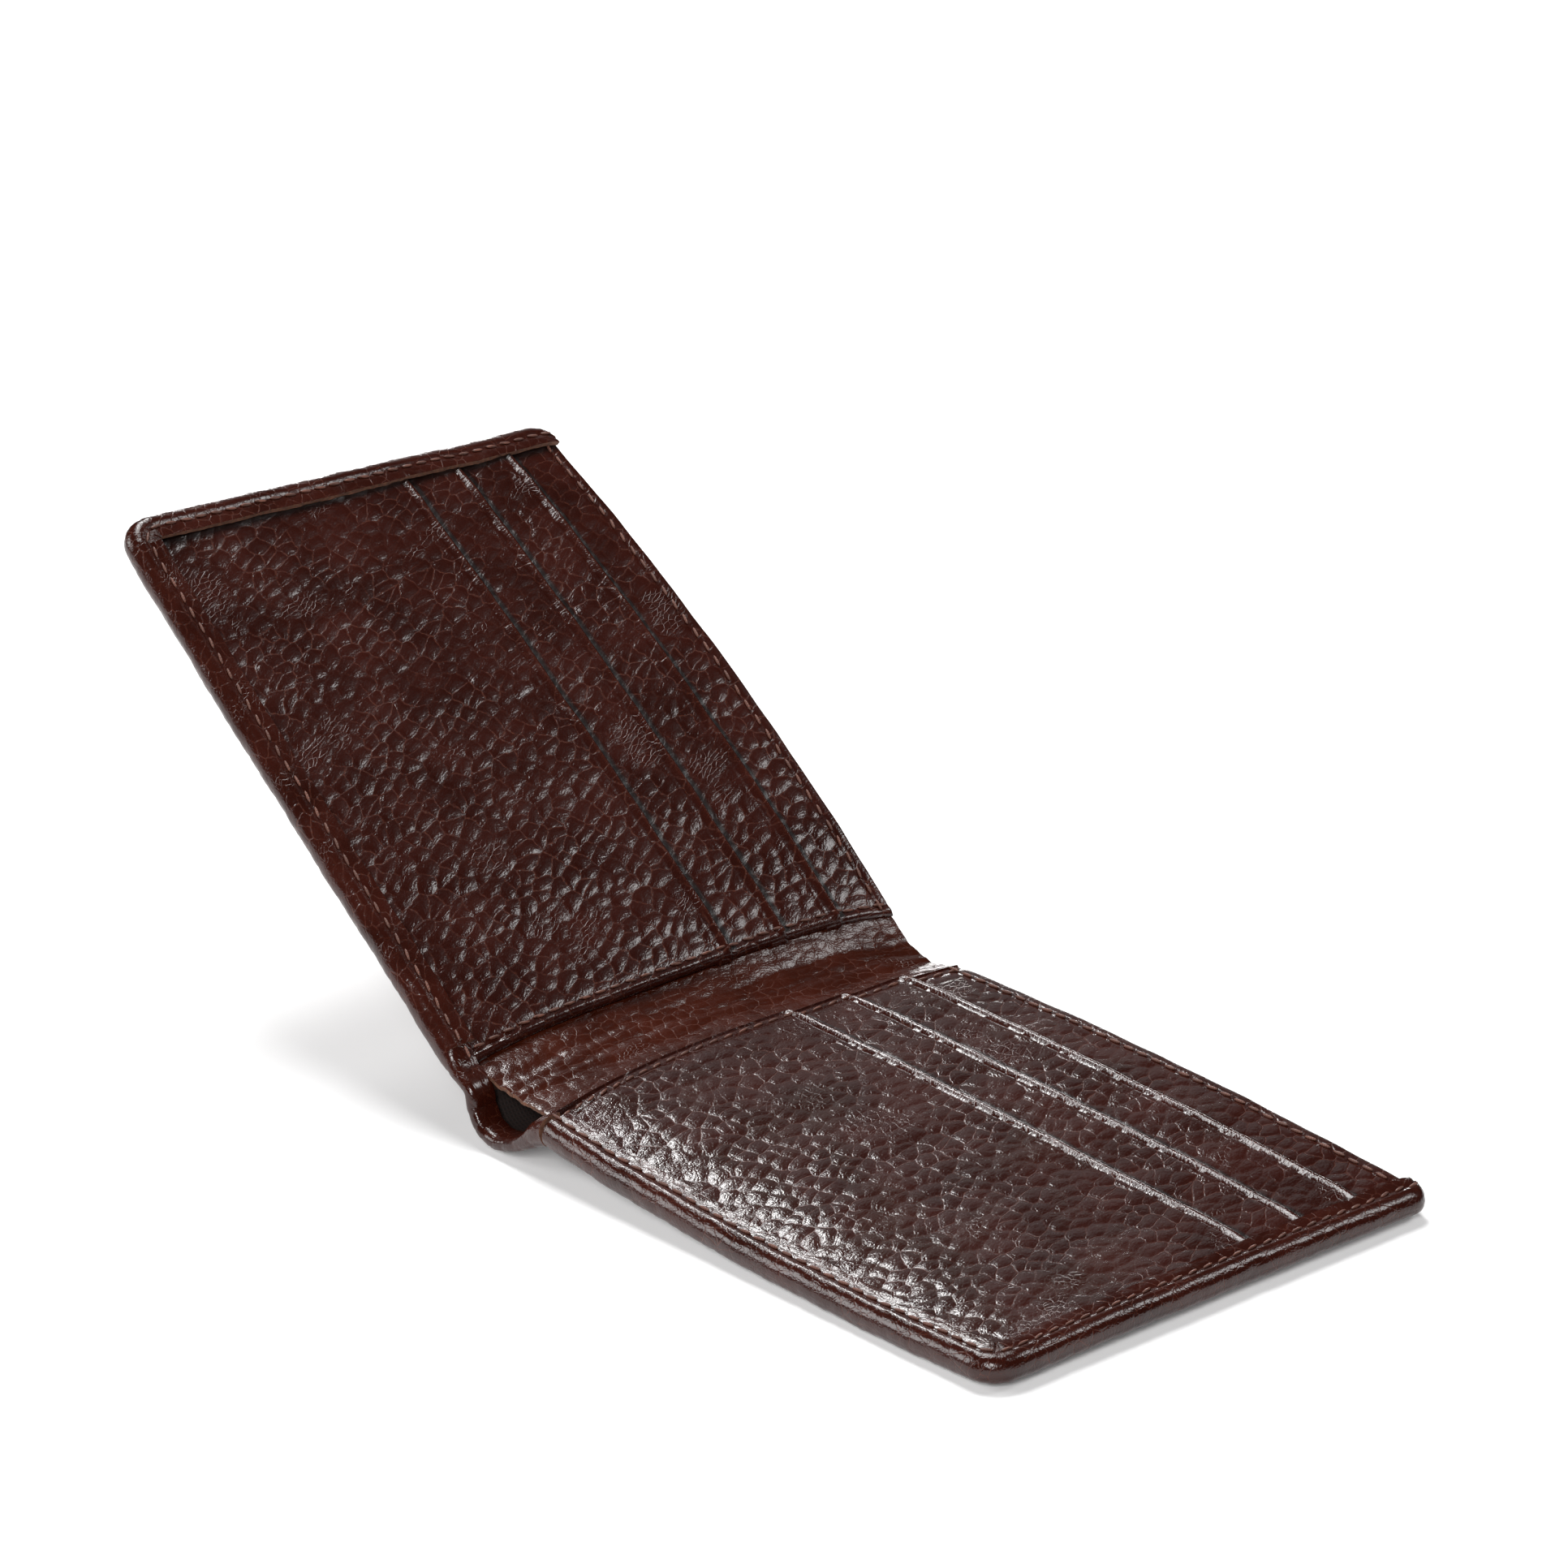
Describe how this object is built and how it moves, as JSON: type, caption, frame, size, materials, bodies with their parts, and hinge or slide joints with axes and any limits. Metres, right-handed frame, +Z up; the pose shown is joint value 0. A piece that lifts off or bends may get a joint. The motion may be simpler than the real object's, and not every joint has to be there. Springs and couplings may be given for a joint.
{
  "type": "bifold wallet",
  "caption": "Leather bifold wallet with turned stitched edges, card slots in both halves, slip pockets behind them and a full-length bill compartment, folding at a soft spine.",
  "frame": {"origin": "middle of the underside of the whole wallet's box, standing half open on its spine pouch and on the outer end of the lying half", "axes": "+Z up, +Y along the spine from the bottom edge to the top edge with the bill compartment's mouth, +X from the spine towards the outer end of the lying half"},
  "size_m": [0.2038, 0.089, 0.0791],
  "materials": {
    "shell_leather": "glossy pebbled dark red-brown leather",
    "pocket_leather": "glossy pebbled dark red-brown leather",
    "divider_leather": "lighter, redder pebbled leather with a raw lower edge",
    "lining_fabric": "dark brown plain-woven lining",
    "board": "bonded fibre board, matt",
    "thread": "red-brown polyester sewing thread"
  },
  "bodies": {
    "floor_half": {"floor_shell": "shell_leather", "floor_board": "board", "floor_bill_lining": "lining_fabric", "floor_divider": "divider_leather", "floor_panel_backing": "lining_fabric", "floor_pocket_3_skirt": "lining_fabric", "floor_pocket_2_skirt": "lining_fabric", "floor_pocket_1": "pocket_leather", "floor_pocket_2": "pocket_leather", "floor_pocket_3": "pocket_leather", "floor_top_strip": "pocket_leather", "floor_hem_thread": "thread", "floor_top_thread": "thread", "floor_inner_thread": "thread"},
    "spine": {"spine_shell": "shell_leather", "spine_lining": "lining_fabric", "spine_divider": "divider_leather"},
    "raised_half": {"raised_shell": "shell_leather", "raised_board": "board", "raised_bill_lining": "lining_fabric", "raised_divider": "divider_leather", "raised_panel_backing": "lining_fabric", "raised_pocket_3_skirt": "lining_fabric", "raised_pocket_2_skirt": "lining_fabric", "raised_pocket_1": "pocket_leather", "raised_pocket_2": "pocket_leather", "raised_pocket_3": "pocket_leather", "raised_top_strip": "pocket_leather", "raised_hem_thread": "thread", "raised_top_thread": "thread", "raised_inner_thread": "thread"}
  },
  "joints": [
    {"name": "spine_fold", "type": "hinge", "parent": "floor_half", "child": "spine", "pos_m": [-0.00621, 0, 0.00509], "axis": [0, 1, 0], "range_deg": [-19.5, 71]},
    {"name": "raised_fold", "type": "hinge", "parent": "spine", "child": "raised_half", "pos_m": [-0.01653, 0, 0.0089], "axis": [0, 1, 0], "range_deg": [-19.5, 71]}
  ],
  "couplings": [
    {"joint": "raised_fold", "follows": "spine_fold", "ratio": 1}
  ]
}
